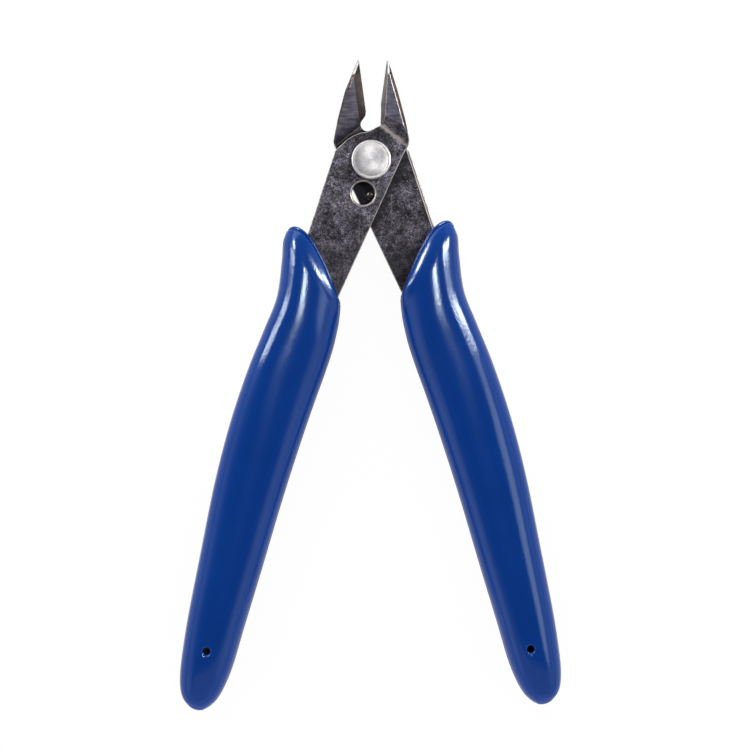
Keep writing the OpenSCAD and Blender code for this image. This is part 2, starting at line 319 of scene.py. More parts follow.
# %% Colour of the oxide
OXIDE_STOPS = ((0.32, (0.018, 0.0176, 0.021)), (0.5, (0.034, 0.0332, 0.0415)), (0.7, (0.068, 0.0655, 0.081)))
PATCH_STOPS = [(0.34, (0.4, 0.4, 0.41)), (0.66, (1.66, 1.64, 1.7))]
GRAIN_STOPS = [(0.37, (0.2, 0.2, 0.2)), (0.63, (1.9, 1.88, 1.85))]
SCRATCH, FLECK = (0.34, 0.335, 0.33, 1), (0.34, 0.335, 0.345, 1)


def scratches(bench, turn, least):
    return bench.clamped(bench.noise(1500, 3, (1, 0.025, 1), turn), least, least + 0.09)


def oxide_tone(bench, level):
    """Colour of the skin, with the mottling and the grain that also steer roughness and bump."""
    patches, mottle, grain = bench.noise(340, 5), bench.noise(1150, 8), bench.noise(4200, 4)
    tone = bench.ramp(mottle, [(at, tuple(level * c for c in colour)) for at, colour in OXIDE_STOPS])
    tone = bench.mixed(1.0, tone, bench.ramp(patches, PATCH_STOPS), "MULTIPLY")
    tone = bench.mixed(1.0, tone, bench.ramp(grain, GRAIN_STOPS), "MULTIPLY")
    lines = bench.calc("MAXIMUM", scratches(bench, 0.55, 0.64), scratches(bench, -0.35, 0.67))
    tone = bench.mixed(bench.calc("MULTIPLY", lines, 0.16), tone, SCRATCH)
    flecks = bench.clamped(bench.noise(2900, 2, (1, 1, 1), 0.8), 0.63, 0.72)
    return bench.mixed(bench.calc("MULTIPLY", flecks, 0.4), tone, FLECK), mottle, grain


print("oxide blotches of about", [round(1 / scale / MM, 2) for scale in (340, 1150, 4200)], "mm")

# %% [markdown]
# ## Painted highlight and painted shade on the oxide
# On the front plate a light band along the bend is a painted highlight, and a darker spot below the rivet is
# painted shade. The rear plate gets a painted shadow where the front one laps over it and painted shade behind
# the window, and both are painted darker beside the grips, as shade from them. Each mark is a mask of its own.
# Painting them into an image would be quick, but here the mottling is added to the distance, so their edges are
# as ragged as the skin itself.

# %% Painted highlight band and painted shade
LAP_EDGE = heading(-27.2)
# Centre of a spot of painted shade on the front plate, below the rivet and right of the window.
SHADED_SPOT = PIVOT + np.array([3.0, -6.4, 2.5]) * MM


# Painted highlight: a light band along the bend of the front jaw, where the bend's rounding would catch the
# light.
def bend_highlight_band(bench, mottle):
    off = bench.calc("SUBTRACT", reach(bench, bend_direction(FRONT)), BEND_AT + 0.3)
    ragged = bench.calc("SUBTRACT", bench.calc("ABSOLUTE", off), bench.calc("MULTIPLY", mottle, 1.3))
    return bench.calc("MULTIPLY", bench.clamped(ragged, 0.02, -0.62), 0.85)


# Painted shade: both plates darker beside the grips, where the grips shade them; a darker spot on the front
# plate; on the rear plate a painted shadow along the edge where the front plate laps over it, and painted shade
# behind the window.
def painted_shade(bench, side, mottle, shaded):
    beside_grips = bench.calc("MULTIPLY", shaded, bench.clamped(reach(bench, (0, 1, 0)), -14.5, -19.5))
    if side == FRONT:
        spot = bench.calc("MULTIPLY", near(bench, SHADED_SPOT, 0.8, 3.4), 0.5)
    else:
        lap = bench.calc("ADD", reach(bench, LAP_EDGE), bench.calc("MULTIPLY", mottle, 0.8))
        lapped = bench.calc("MULTIPLY", bench.clamped(lap, 7.7, 6.3), 0.8)
        spot = bench.calc("MAXIMUM", near(bench, WINDOW, 2.4, 3.4), lapped)
    return bench.calc("MAXIMUM", beside_grips, spot)


print("the lap's edge faces", np.round(LAP_EDGE, 3), "and the oily spot is at", np.round(SHADED_SPOT / MM, 2), "mm")

# %% [markdown]
# ## Black oxide on both plates
# The two plates are of one steel, so one function makes both finishes: the same skin, with the painted
# highlight and shade mixed over it. The rear plate also has a thin painted highlight line just inside the
# rounding of its outer edge. Light patches are worn smoother, so the mottling steers the roughness as well, and
# the grain gives a weak bump.

# %% Black oxide on both plates
# The first colour below is a painted highlight along the bend, the second painted shade, the third a painted
# highlight line on the rear rim.
BEND_HIGHLIGHT, SHADE_COLOUR, RIM_HIGHLIGHT = (0.36, 0.335, 0.33, 1), (0.01, 0.01, 0.013, 1), (0.46, 0.425, 0.41, 1)
OUTER_EDGE, OUTER_EDGE_AT = heading(18.25), 7.59


def within(bench, value, centre, outer, inner):
    """1 close to a value on both its sides."""
    return bench.clamped(bench.calc("ABSOLUTE", bench.calc("SUBTRACT", value, centre)), outer, inner)


def black_oxide(name, side, shaded, level):
    bench = finish_bench(name)
    tone, mottle, grain = oxide_tone(bench, level)
    if side == FRONT:
        # painted highlight along the bend of the front jaw
        tone = bench.mixed(bend_highlight_band(bench, mottle), tone, BEND_HIGHLIGHT)
    # painted shade beside the grips, at the spot, along the lap and behind the window
    tone = bench.mixed(painted_shade(bench, side, mottle, shaded), tone, SHADE_COLOUR)
    if side == REAR:
        # a thin painted highlight line just inside the rounding of the rear plate's outer edge
        rim = within(bench, reach(bench, OUTER_EDGE), OUTER_EDGE_AT - 0.4, 0.17, 0.05)
        tone = bench.mixed(bench.calc("MULTIPLY", rim, 0.75), tone, RIM_HIGHLIGHT)
    bench.shade("Base Color", tone)
    bench.shade("Roughness", bench.spread(mottle, 0.55, 0.4))
    bench.shade("Metallic", 0.85)
    bench.bump(grain, 0.00004, 0.4)
    return bench.made


FRONT_OXIDE = black_oxide("black_oxide_front", FRONT, shaded=0.45, level=1.4)
REAR_OXIDE = black_oxide("black_oxide_rear", REAR, shaded=0.7, level=1.0)
print("plates:", [(finish.name, len(finish.node_tree.nodes)) for finish in (FRONT_OXIDE, REAR_OXIDE)])

# %% [markdown]
# ## Ground and worn steel
# Grinding takes the oxide off the jaws and leaves bare steel, lighter, a little blue, and streaked across
# the jaw by the wheel. The streaks are a noise stretched along X, in the colour and in a weak bump. On the rear
# jaw the face darkens into a dark oxide tone towards the bend, along the front plate's edge: painted shade.
# Worn edges, bevels, the wire, the pin and the painted glint of the tips are the same steel with other colours.

# %% Ground and worn steel
def bare_steel(name, colour, roughness, grind=0.25, streak=0.28, shaded_side=None, metallic=1.0):
    bench = finish_bench(name)
    lines = bench.noise(2200, 3, (0.12, 1, 1))
    cloud = bench.noise(800, 5)
    tone = bench.ramp(lines, [(0.3, tuple((1 - streak) * c for c in colour)),
                              (0.7, tuple((0.88 + streak / 2) * c for c in colour))])
    clouds = bench.ramp(cloud, [(0.3, (0.55,) * 3), (0.7, (1.2,) * 3)])
    tone = bench.mixed(0.6, tone, clouds, "MULTIPLY")
    # Painted shade: towards the bend, along the front plate's edge, the face fades into an oxide tone darker
    # than the plate's own.
    if shaded_side:
        out = bench.calc("ADD", reach(bench, bend_direction(shaded_side)), bench.calc("MULTIPLY", cloud, 2.0))
        bare = bench.clamped(out, BEND_AT + 1.2, BEND_AT + 4.2)
        tone = bench.mixed(bare, oxide_tone(bench, 0.6)[0], tone)
    bench.shade("Base Color", tone)
    bench.shade("Metallic", metallic)
    bench.shade("Roughness", roughness)
    bench.bump(lines, 0.00002, grind)
    return bench.made


FRONT_GROUND = bare_steel("ground_face_front", (0.262, 0.255, 0.346), 0.36, streak=0.55)
REAR_GROUND = bare_steel("ground_face_rear", (0.228, 0.219, 0.28), 0.36, streak=0.55, shaded_side=REAR)
FRONT_LAND = bare_steel("ground_land_front", (0.2, 0.175, 0.165), 0.42)
REAR_LAND = bare_steel("ground_land_rear", (0.085, 0.07, 0.067), 0.42)
BEVEL = bare_steel("dull_bevel", (0.06, 0.05, 0.047), 0.5)
WORN = bare_steel("worn_edge", (0.38, 0.36, 0.345), 0.45)
# The tip facet's near-white, barely metallic finish is a painted glint: it stands in for the facet reflecting a
# bright light.
TIP_GLINT = bare_steel("painted_tip_glint", (0.8, 0.8, 0.8), 0.5, metallic=0.25)
FRONT_FINISHES = (FRONT_OXIDE, FRONT_GROUND, FRONT_LAND, WORN, TIP_GLINT, BEVEL)
REAR_FINISHES = (REAR_OXIDE, REAR_GROUND, REAR_LAND, WORN, TIP_GLINT, BEVEL)
print("front blade finishes:", [finish.name for finish in FRONT_FINISHES])

# %% [markdown]
# ## The faces of a jaw
# Each jaw is bent up out of its plate and then ground: a sloped face outside, a narrow land at the cutting
# edge, a small facet at the tip, whose near-white finish is a painted glint. Picking faces by hand would
# break as soon as the frame is packed again. A face is known by where it lies on the closed drawing and
# how it leans, and that stays true.

# %% Sort jaw faces by slope
OXIDE_SKIN, GROUND_FACE, INNER_LAND, WORN_EDGE, TIP_FACET, OUTER_BEVEL = range(6)
BEND = math.radians(21)
BENT_TOP = np.array([*(-math.tan(BEND) * BEND_NORMAL[:2]), 1.0])
BENT_TOP /= np.linalg.norm(BENT_TOP)
JAW_FROM, LAND_FROM, TIP_FROM = 6.6, 8.2, 16.9
UPWARD = 0.15


def jaw_finish(centre, normal, side):
    x, y, _ = centre
    if y < JAW_FROM or normal[2] < UPWARD:
        return OXIDE_SKIN
    bent = normal @ BENT_TOP > math.cos(math.radians(1.2))
    if side == FRONT and normal[0] < -0.55:
        return INNER_LAND
    if side == REAR and bent and y > LAND_FROM and x < 2.2:
        return INNER_LAND
    if bent:
        return OXIDE_SKIN
    leans_out = normal[0] > 0.25
    if y > TIP_FROM and (side == FRONT or leans_out):
        return TIP_FACET if side == REAR or normal[0] < 0.5 else OUTER_BEVEL
    if leans_out:
        return OUTER_BEVEL if side == FRONT else INNER_LAND
    return GROUND_FACE


print("a bent jaw's top faces", np.round(BENT_TOP, 3))

# %% [markdown]
# ## The edges that wear
# Tumbling rounds the outward edges of a stamping, and oxide wears off there first. So they get a small
# bevel with a material of its own, which catches light as a thin line. A Bevel modifier would round all
# edges alike. Here each edge is asked where it lies: the plate, a jaw's ridge and a jaw's burr differ, and
# the cutting edges, the pivot's bore and the root under the other plate stay as ground.

# %% Choose the edges
PLATE_EDGE, JAW_RIDGE, JAW_BURR = 0.14, 0.08, 0.11
EDGE_FINISH = {PLATE_EDGE: WORN_EDGE, JAW_RIDGE: WORN_EDGE, JAW_BURR: OUTER_BEVEL}
BORE_CLEAR, ROOT_CLEAR, PLATE_TO = 4.3, BEND_AT + 1.3, 6.4


def edge_width(edge, side):
    """How far an edge is rounded, in mm; nought where it stays as ground."""
    if not edge.is_manifold or not edge.is_convex or edge.calc_face_angle() < math.radians(12):
        return 0
    x, y, _ = unplace((edge.verts[0].co + edge.verts[1].co) / 2, side)
    under_plate = side == REAR and y > 4 and x * BEND_NORMAL[0] + y * BEND_NORMAL[1] < ROOT_CLEAR
    if math.hypot(x, y) < BORE_CLEAR or under_plate:
        return 0
    if y < PLATE_TO:
        return PLATE_EDGE if edge.calc_face_angle() > math.radians(24) else 0
    up = [unturn(face.normal, side)[2] for face in edge.link_faces]
    if min(up) > UPWARD:
        return JAW_RIDGE if x > 0.45 else 0
    outside = x > 0.5 if side == FRONT else y > TIP_FROM
    return JAW_BURR if max(up) > UPWARD and outside else 0


print("edges are rounded by", sorted(EDGE_FINISH), "mm")

# %% [markdown]
# ## The two blades
# The stamped levers come straight from the frame. Their flat faces are cut into triangles there, so the
# coplanar ones are merged first: a bevel runs cleanly only along whole faces. Then the tip is cut off as
# a face of its own, every face gets its finish, and the edges are rounded. Weighted normals keep the
# large faces flat although the whole mesh is smooth.

# %% Dress both blades
def dressed_blade(name, node, body, side, finishes):
    bm = bmesh.new()
    bm.from_mesh(frame["nodes"][node].data)
    bmesh.ops.remove_doubles(bm, verts=bm.verts, dist=2e-6)
    bmesh.ops.dissolve_limit(bm, angle_limit=math.radians(0.8), verts=bm.verts, edges=bm.edges)
    bmesh.ops.bisect_plane(bm, geom=bm.verts[:] + bm.edges[:] + bm.faces[:],
                           plane_co=place((0, TIP_FROM, 0), side),
                           plane_no=turned(np.array([0.0, 1, 0]), -side * HALF_OPEN))
    for face in bm.faces:
        centre, normal = unplace(face.calc_center_median(), side), unturn(face.normal, side)
        face.material_index = jaw_finish(centre, normal, side)
    widths = [(edge, edge_width(edge, side)) for edge in bm.edges]
    for width, finish in EDGE_FINISH.items():
        edges = [edge for edge, w in widths if edge.is_valid and w == width]
        bmesh.ops.bevel(bm, geom=edges, offset=width * MM, offset_type="OFFSET", segments=2,
                        profile=0.5, affect="EDGES", clamp_overlap=False, material=finish)
    bmesh.ops.triangulate(bm, faces=[f for f in bm.faces if len(f.verts) > 4])
    mesh = bpy.data.meshes.new(name)
    bm.to_mesh(mesh)
    bm.free()
    piece = add_piece(name, mesh, body, node, finishes)
    piece.modifiers.new("flat_faces_stay_flat", "WEIGHTED_NORMAL").weight = 100
    counts = np.bincount([p.material_index for p in mesh.polygons], minlength=len(finishes))
    print("  oxide, ground, land, worn, tip, bevel =", counts.tolist())
    return piece


dressed_blade("front_blade_dressed", "front_blade", "front_half", FRONT, FRONT_FINISHES)
dressed_blade("rear_blade_dressed", "rear_blade", "rear_half", REAR, REAR_FINISHES)

# %% [markdown]
# ## Turned steel
# The rivet's head is faced on a lathe. The tool leaves fine rings, and the light spreads across them, so
# a lamp shows as two bright sectors and not as a spot. An anisotropic shader does that, with its tangent
# round the axis. A small turn of it sets the sectors askew, as they are on the real head. The rings
# themselves are a one-dimensional noise of the distance from the centre.

# %% Finish of the turned pieces
HEAD_CENTRE = PIVOT + [0, 0, 3.4 * MM]


def turned_steel():
    bench = finish_bench("turned_steel")
    axis = bench.node("Tangent")
    axis.direction_type = "RADIAL"
    axis.axis = "Z"
    bench.shade("Tangent", axis.outputs["Tangent"])
    tool = bench.node("TexNoise")
    tool.noise_dimensions = "1D"
    bench.feed(tool.inputs["W"], bench.vector("DISTANCE", bench.where(), tuple(HEAD_CENTRE)))
    bench.feed(tool.inputs["Scale"], 4200)
    bench.feed(tool.inputs["Detail"], 4)
    rings = bench.ramp(tool.outputs["Fac"], [(0.3, (0.74,) * 3), (0.7, (1.02,) * 3)])
    tone = bench.ramp(bench.noise(1600, 6), [(0.3, (0.41, 0.411, 0.424)), (0.7, (0.54, 0.541, 0.554))])
    bench.shade("Base Color", bench.mixed(0.9, tone, rings, "MULTIPLY"))
    bench.shade("Metallic", 1.0)
    bench.shade("Roughness", 0.42)
    bench.shade("Anisotropic", 0.5)
    bench.shade("Anisotropic Rotation", 0.45)
    return bench.made


TURNED = turned_steel()
print(TURNED.name, "has", len(TURNED.node_tree.nodes), "nodes")

# %% [markdown]
# ## Rivet and collar
# The rivet is one turned piece from its staked end to its head, with a rounded rim and one shallow tool
# groove near it. The collar is a ring that closes it on the rear face. Both are profiles for `lathe`. The
# collar's profile is closed, because it has a bore. Splitting the mesh at sharp shoulders keeps them crisp.

# %% Turn the rivet and its collar
RIVET = [(0.001, -3.87), (1.9, -3.87), (2.3, -3.75), (2.5, -3.52), (2.5, 2.545), (3.88, 2.545),
         (3.88, 3.12), (3.84, 3.26), (3.74, 3.36), (3.6, 3.405), (3.5, 3.415), (3.38, 3.417),
         (3.33, 3.4), (3.27, 3.4), (3.22, 3.418), (1.5, 3.425), (0.001, 3.425)]
COLLAR = [(2.51, -3.52), (3.4, -3.52), (3.6, -3.42), (3.7, -3.22), (3.7, -2.545), (2.51, -2.545)]


def turned_piece(name, turning, body, node, finish):
    piece = add_piece(name, new_mesh(name, *turning), body, node, [finish])
    piece.modifiers.new("crisp_shoulders", "EDGE_SPLIT").split_angle = math.radians(40)


turned_piece("pivot_rivet_turned", lathe(RIVET, PIVOT, 128), "front_half", "pivot_rivet", TURNED)
turned_piece("rivet_collar_turned", lathe(COLLAR, PIVOT, 96, closed=True), "front_half", "rivet_collar", TURNED)

# %% [markdown]
# ## The stop pin
# A small dark pin with a domed end stands on the rear plate and shows in the window of the front one. It
# limits how far the jaws open. Its size is read from the frame, so that it can't drift from the solid
# that MuJoCo uses, and only the dome is added.

# %% Turn the stop pin
PIN_STEEL = bare_steel("dark_pin", (0.09, 0.08, 0.078), 0.24, grind=0.1)
DOME = 0.45
pin_low, pin_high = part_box("stop_pin")
pin_at = (pin_low + pin_high) / 2
pin_r = (pin_high.x - pin_low.x) / 2 / MM
pin_h = (pin_high.z - pin_low.z) / MM
dome = [(pin_r * math.cos(a), pin_h - DOME + DOME * math.sin(a)) for a in np.linspace(0, 1.5, 9)]
pin_turning = lathe([(pin_r, 0.0)] + dome + [(0.001, pin_h)], (pin_at.x, pin_at.y, pin_low.z), 48)
turned_piece("stop_pin_domed", pin_turning, "rear_half", "stop_pin", PIN_STEEL)

# %% [markdown] ## The return spring A ring of drawn wire, open on one side, with a tail up into the front
# plate and a tail down into the rear one. A curve with a round bevel would look the same. Here the wire is a
# swept mesh.

# %% Sweep the wire
WIRE = bare_steel("drawn_wire", (0.5, 0.51, 0.53), 0.3)
WIRE_R, COIL_R, TAIL, TAIL_BEND = 0.45, 3.24, 1.5, 0.3
angles = np.radians(np.linspace(100, 400, 121))
ring = np.stack([COIL_R * np.cos(angles), COIL_R * np.sin(angles), np.zeros(len(angles))], -1)
wire_path = np.concatenate([[ring[0] + [0, 0, TAIL]], [ring[0] + [0, 0, TAIL_BEND]], ring[2:-2],
                            [ring[-1] - [0, 0, TAIL_BEND]], [ring[-1] - [0, 0, TAIL]]])


def sweep(path, radius, count=16):
    along = np.gradient(path, axis=0)
    along /= np.linalg.norm(along, axis=1)[:, None]
    out = path * [1, 1, 0]
    out -= (out * along).sum(1)[:, None] * along
    out /= np.linalg.norm(out, axis=1)[:, None]
    third = np.cross(along, out)
    turn = np.linspace(0, 2 * math.pi, count, endpoint=False)
    rings = path[:, None] + radius * (np.cos(turn)[None, :, None] * out[:, None]
                                      + np.sin(turn)[None, :, None] * third[:, None])
    return rings.reshape(-1, 3) * MM + PIVOT, ring_faces(len(path), count)


spring = add_piece("return_spring_wire", new_mesh("return_spring_wire", *sweep(wire_path, WIRE_R)),
                   None, "return_spring", [WIRE])
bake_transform(spring)

# %% [markdown]
# ## The plan of a grip
# Each grip is a slip-on moulding with a horn at its mouth. Its plan is two guide curves along the handle,
# one for the outer edge and one for the inner edge. A station gives one point of both and the half
# thickness there, and a smooth curve runs through the stations. Sculpting could give the same form, but
# stations can be read from a drawing and mirrored: the same mould makes both grips.

# %% Guide curves of a grip
HANDLE = math.radians(7.5)
# Along and across at the outer edge, along and across at the inner edge, half thickness, all in mm.
STATIONS = np.array([
    [16.2, -11.9, 27.4, 1.6, 3.0], [16.7, -12.15, 27.8, 1.75, 3.18], [17.6, -12.27, 28.5, 1.9, 3.6],
    [18.9, -12.3, 29.4, 2.08, 4.0], [20.4, -12.02, 30.5, 2.25, 4.27], [22.6, -11.57, 32.2, 2.45, 4.45],
    [29.6, -10.63, 36.6, 2.63, 4.66], [36.6, -11.35, 41.6, 2.4, 4.7], [45, -12.3, 47.5, 1.95, 4.7],
    [56, -12.85, 56.5, 1.42, 4.7], [68, -12.63, 68, 0.98, 4.7], [82, -11.63, 82, 0.74, 4.7],
    [94, -10.72, 94, 0.46, 4.7], [101, -9.95, 101, 0.36, 4.6], [105.5, -9.25, 105.5, -0.1, 4.25],
    [108.6, -8.35, 108.6, -0.9, 3.6], [110.4, -7.25, 110.4, -1.95, 2.7], [111.45, -5.8, 111.45, -3.0, 1.4]])
LAST = len(STATIONS) - 1
HORN_AT, HORN_DRAWN_AT, LENGTH_FIT, MOUTH_BULGE = 16.2, 15.8, 95.6 / 96, 3.25


def station(t):
    """The curve through the stations; a whole number t is a station itself."""
    i = min(int(t), LAST - 1)
    f = t - i
    a, b, c, d = (STATIONS[min(max(i + n, 0), LAST)] for n in (-1, 0, 1, 2))
    return 0.5 * (2 * b + (c - a) * f + (2 * a - 5 * b + 4 * c - d) * f ** 2 + (3 * b - a - 3 * c + d) * f ** 3)


def fraction(value, start, end):
    """0 at start, 1 at end, held beyond both."""
    return min(1.0, max(0.0, (value - start) / (end - start)))


def guide(s, v):
    """Along and across the handle at share v from the outer to the inner edge of station s."""
    bulge = MOUTH_BULGE * fraction(s[0], HORN_AT + 30, HORN_AT) ** 2.2
    drawn = s[0] + (s[2] - s[0]) * v - HORN_DRAWN_AT
    return HORN_AT + drawn * LENGTH_FIT - bulge * np.sin(math.pi * v ** 0.7), s[1] + (s[3] - s[1]) * v


def handle_xy(p, q):
    c, s = math.cos(HANDLE), math.sin(HANDLE)
    return q * c - p * s, -q * s - p * c


print("a grip is drawn over", round(STATIONS[-1][0] - HORN_AT, 2), "mm in", len(STATIONS), "stations")

# %% [markdown]
# ## The sections of a grip
# Seen along the handle, a grip is a rounded box: fuller than an ellipse, more so at the inner end of the
# mouth. The exponent of a superellipse says how full. Where the two mould halves met there is a seam, a
# fine raised line down both sides. It is made by drawing in every point that isn't on the seam, because a
# bump in the material would be lost in the outline.

# %% Sections with a seam
SEAM = np.radians([-0.4, -0.15, 0.15, 0.4])
HALF_TURN = np.radians(np.arange(3, 178, 3.0))
ANGLE = np.concatenate([SEAM, HALF_TURN, SEAM + math.pi, HALF_TURN + math.pi])
ON_SEAM = np.abs(np.sin(ANGLE)) < math.sin(math.radians(0.2))
OUTER_SIDE = np.cos(ANGLE) > 0
SEAM_STEP = np.where(OUTER_SIDE, 0.05, 0.09)
MOUTH_END = 27.4
HALF_THICK = 4.695


def power(x, e):
    return np.sign(x) * np.abs(x) ** e


def section(s, shrink):
    """Share across and height of the ring at station s, drawn in from the skin by shrink mm."""
    crown = 2.3 + 0.15 * fraction(s[2], 34, 46)
    full = crown + np.where(OUTER_SIDE, 0, 4.4 * fraction(s[2], MOUTH_END + 5, MOUTH_END) ** 3)
    width = max(s[3] - s[1], 0.1)
    flash = 1 + 2.4 * fraction(s[2], MOUTH_END + 3, MOUTH_END)
    inset = shrink + np.where(ON_SEAM, 0, flash * SEAM_STEP * min(1, width / 6))
    across = power(np.cos(ANGLE), 2 / full)
    lean = 0.08 * fraction(s[2], 60, 45)
    v = 0.5 - (0.5 - inset / width) * across - lean * (1 - across ** 2)
    return v, power(np.sin(ANGLE), 2 / full) * (min(s[4], HALF_THICK) - shrink)


print("points in a ring:", len(ANGLE), "of them on the seam:", int(ON_SEAM.sum()))

# %% [markdown]
# ## Stacking the rings
# The rings run from deep in the slot round the plate, out over the rolled lip of the mouth, down the
# handle and over the rounded end. The lip has many rings close together, since a soft roll and the groove
# behind it are what make a moulding look soft. The slot follows the tang's two edges, which taper.

# %% Stack the rings of a grip
SLOT_DEPTH, SLOT_GAP, SLOT_CORNER = 9.0, 0.05, 0.16
TANG_OUTER, TANG_INNER = (-7.25, -0.048), (5.29, -0.157)
LIP = [(0.0, 0.42), (0.0, 0.3), (0.05, 0.14), (0.16, 0.04), (0.32, 0.0), (0.55, 0.0),
       (0.8, 0.05), (0.95, 0.16), (1.02, 0.2), (1.08, 0.16), (1.18, 0.04), (1.3, 0.0)]
ALONG = np.concatenate([np.linspace(1.45, LAST - 5, 92), np.linspace(LAST - 4.88, LAST, 44)])
END_CLOSING, END_CROWN = (0.88, 0.74, 0.58, 0.4, 0.22, 0.08), 0.34


def slot_ring(depth, low, high, more):
    """The opening round the plate, at the mouth or some way in; more widens it on the outer side."""
    s = station(0)
    v = 0.5 - 0.5 * power(np.cos(ANGLE), SLOT_CORNER)
    q = -8 + 9 * v
    for _ in range(6):
        p = guide(s, np.clip((q - s[1]) / (s[3] - s[1]), 0, 1))[0] + depth
        outer = TANG_OUTER[0] + TANG_OUTER[1] * p - SLOT_GAP - more
        inner = TANG_INNER[0] + TANG_INNER[1] * p + SLOT_GAP
        q = outer * (1 - v) + inner * v
    z = (low + high) / 2 + power(np.sin(ANGLE), SLOT_CORNER) * (high - low) / 2
    return p, q, z


def grip_rings(plate_low, plate_high, slip, more):
    rings = [slot_ring(depth + slip, plate_low - SLOT_GAP, plate_high + SLOT_GAP, more)
             for depth in (SLOT_DEPTH, 0.0)]
    for t, shrink in LIP + [(t, 0.0) for t in ALONG]:
        s = station(t)
        v, z = section(s, shrink)
        p, q = guide(s, v)
        rings.append((p + slip, q, z))
    s = station(LAST)
    v, z = section(s, 0.0)
    for closing in END_CLOSING:
        p, q = guide(s, 0.5 + (v - 0.5) * closing)
        rings.append((p + END_CROWN * (1 - closing ** 2) + slip, q, z * closing))
    return np.concatenate([np.stack([*handle_xy(p, q), z], -1) for p, q, z in rings]), len(rings)


print("rings in a grip:", 2 + len(LIP) + len(ALONG) + len(END_CLOSING))

# %% [markdown]
# ## Glossy vinyl
# The moulding is coloured through, so its blue changes only a little from place to place. What tells vinyl
# from paint is how it shines. The skin has a fine peel, its lower end is polished by the hand, its
# reflections are a shade bluer than the lamps, and they don't grow strong edge-on as on a hard plastic.
# Layer Weight weakens them there. All of it goes into one Principled shader.

# %% Blue vinyl
VINYL_BLUE = [(0.3, (0.0013, 0.0236, 0.151)), (0.7, (0.0018, 0.0264, 0.165))]
HANDLED_FROM, HANDLED_TO = -36, -56


def vinyl():
    bench = finish_bench("blue_vinyl")
    bench.shade("Base Color", bench.ramp(bench.noise(120, 3), VINYL_BLUE))
    handled = bench.clamped(reach(bench, (0, 1, 0)), HANDLED_FROM, HANDLED_TO)
    bench.shade("Roughness", bench.calc("SUBTRACT", 0.125, bench.calc("MULTIPLY", handled, 0.025)))
    facing = bench.calc("SUBTRACT", 1.0, bench.node("LayerWeight").outputs["Facing"])
    weaker = bench.calc("MULTIPLY", bench.calc("POWER", facing, 1.5), 0.55)
    bench.shade("Specular IOR Level", weaker)
    bench.shade("Specular Tint", (0.78, 0.96, 1, 1))
    bench.bump(bench.noise(2400, 2), 0.00004, 0.4)
    return bench.made


VINYL = vinyl()
print(VINYL.name, "has", len(VINYL.node_tree.nodes), "nodes")

# %% [markdown]
# ## Both grips
# The left grip sits on the front half and the right one is its mirror on the rear half, slipped a little
# further onto its tang. Near the end of each is a vent that let air out of the mould. A dark disc would
# do from above. A Boolean cuts it for real, down to the tang, with a slightly flared rim.

# %% Make both grips
VENT_R, VENT_TOP, VENT_FLARE = 0.7, 4.6, 0.3


def drilled(piece, at, floor_z):
    profile = [(VENT_R, floor_z), (VENT_R, VENT_TOP - 0.3), (VENT_R + 0.1, VENT_TOP - 0.12),
               (VENT_R + VENT_FLARE, VENT_TOP), (VENT_R + VENT_FLARE, 6)]
    cutter = bpy.data.objects.new("vent_cutter", new_mesh("vent_cutter", *lathe(profile, at, 40)))
    bpy.context.scene.collection.objects.link(cutter)
    cut = piece.modifiers.new("vent", "BOOLEAN")
    cut.object = cutter
    cut.solver = "EXACT"
    made = bpy.data.meshes.new_from_object(piece.evaluated_get(bpy.context.evaluated_depsgraph_get()))
    piece.modifiers.clear()
    piece.data = made
    bpy.data.objects.remove(cutter)
    made.set_sharp_from_angle(angle=math.radians(38))
    print(piece.name, "drilled:", len(made.polygons), "faces")


def make_grip(name, node, body, side, plate, slip, vent_at, more):
    drawn, count = grip_rings(*plate, slip, more)
    faces = ring_faces(count, len(ANGLE))
    if side == REAR:
        faces = [f[::-1] for f in faces]
    piece = add_piece(name, new_mesh(name, place(drawn, side), faces), None, node, [VINYL])
    drilled(piece, place((*handle_xy(vent_at[0] + slip, vent_at[1]), 0.0), side), plate[1])
    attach(piece, body)


make_grip("left_grip_moulded", "left_grip", "front_half", FRONT,
          plate=(0.025, 2.525), slip=0.6, vent_at=(99.95, -5.3), more=0)
make_grip("right_grip_moulded", "right_grip", "rear_half", REAR,
          plate=(-2.525, -0.025), slip=-0.6, vent_at=(100.45, -4.4), more=0.35)

# %% [markdown]
# ## The floor
# The tool lies on white paper. Paper that is lit hard enough to come out white would light the tool too,
# and wash its colours out. So the floor shows a plain white to the camera and in reflections, by Light
# Path, and is ordinary paper for everything else. A twentieth of that paper shows through as a soft shadow.

# %% White paper floor
PAPER_WHITE = 0.95


def white_floor():
    bpy.ops.mesh.primitive_plane_add(size=6, location=(0, 0, 0))
    floor = bpy.context.object
    floor.name = "floor"
    bench = finish_bench("white_paper")
    bench.shade("Base Color", (0.9, 0.9, 0.9, 1))
    bench.shade("Roughness", 0.9)
    seen = bench.node("LightPath").outputs
    rays = bench.calc("MAXIMUM", seen["Is Camera Ray"], seen["Is Glossy Ray"])
    rays = bench.calc("MAXIMUM", rays, seen["Is Transmission Ray"])
    both = bench.node("MixShader")
    bench.feed(both.inputs["Fac"], bench.calc("MULTIPLY", rays, PAPER_WHITE))
    bench.feed(both.inputs[1], bench.nodes["Principled BSDF"].outputs["BSDF"])
    bench.feed(both.inputs[2], bench.node("Emission").outputs["Emission"])
    bench.feed(bench.nodes["Material Output"].inputs["Surface"], both.outputs["Shader"])
    floor.data.materials.append(bench.made)
    print("floor of", round(floor.dimensions.x, 1), "m")


white_floor()

# %% [markdown]
# ## The room
# A pale room that darkens overhead, where the camera stands: flat faces then mirror the dark ceiling, and
# rounded flanks pick up the bright walls. Three soft round panes in it draw the broad sheen on the ground
# jaws. A photographed room would do the same, but this one needs no image.

